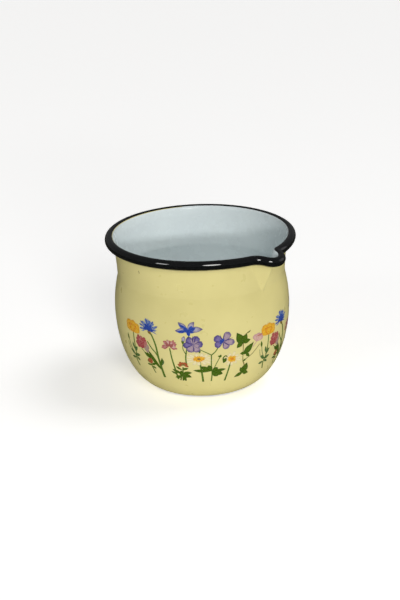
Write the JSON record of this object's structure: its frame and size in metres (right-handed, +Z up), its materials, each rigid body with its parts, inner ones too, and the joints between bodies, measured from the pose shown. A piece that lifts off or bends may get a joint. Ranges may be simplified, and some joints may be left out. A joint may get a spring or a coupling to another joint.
{
  "type": "enamelled melting pot",
  "caption": "Round-bellied enamelled steel melting pot with a curled black edge, a pressed pouring lip and a printed band of meadow flowers.",
  "frame": {"origin": "middle of the flat rest face", "axes": "+Z up, +X from the middle towards the pouring lip"},
  "size_m": [0.1431, 0.1332, 0.1096],
  "materials": {
    "pressed_steel": "drawn sheet steel under fired enamel",
    "cream_enamel": "glossy fired vitreous enamel",
    "white_enamel": "glossy fired vitreous enamel, cool white",
    "black_enamel": "high-gloss fired vitreous enamel",
    "ground_enamel": "grey-brown satin ground coat",
    "print_yellow": "fired-on print",
    "print_red": "fired-on print",
    "print_orange": "fired-on print",
    "print_blue": "fired-on print",
    "print_pink": "fired-on print",
    "print_violet": "fired-on print",
    "print_cream": "fired-on print"
  },
  "bodies": {
    "root": {"steel_shell": "pressed_steel", "outer_enamel": "cream_enamel", "inner_enamel": "white_enamel", "rim_enamel": "black_enamel", "base_enamel": "ground_enamel", "print_1_buttercup": "print_yellow", "print_1_clover": "print_red", "print_1_pimpernel": "print_orange", "print_1_cornflower": "print_blue", "print_1_scabious": "print_pink", "print_1_avens": "print_orange", "print_1_columbine": "print_violet", "print_1_daisy": "print_cream", "print_1_mallow": "print_violet", "print_1_small_daisy": "print_cream", "print_1_bindweed": "print_pink", "print_2_buttercup": "print_yellow", "print_2_clover": "print_red", "print_2_pimpernel": "print_orange", "print_2_cornflower": "print_blue", "print_2_scabious": "print_pink", "print_2_avens": "print_orange", "print_2_columbine": "print_violet", "print_2_daisy": "print_cream", "print_2_mallow": "print_violet", "print_2_small_daisy": "print_cream", "print_2_bindweed": "print_pink", "print_3_buttercup": "print_yellow", "print_3_clover": "print_red", "print_3_pimpernel": "print_orange", "print_3_cornflower": "print_blue", "print_3_scabious": "print_pink", "print_3_avens": "print_orange", "print_3_columbine": "print_violet", "print_3_daisy": "print_cream", "print_3_mallow": "print_violet", "print_3_small_daisy": "print_cream", "print_3_bindweed": "print_pink"}
  },
  "joints": []
}
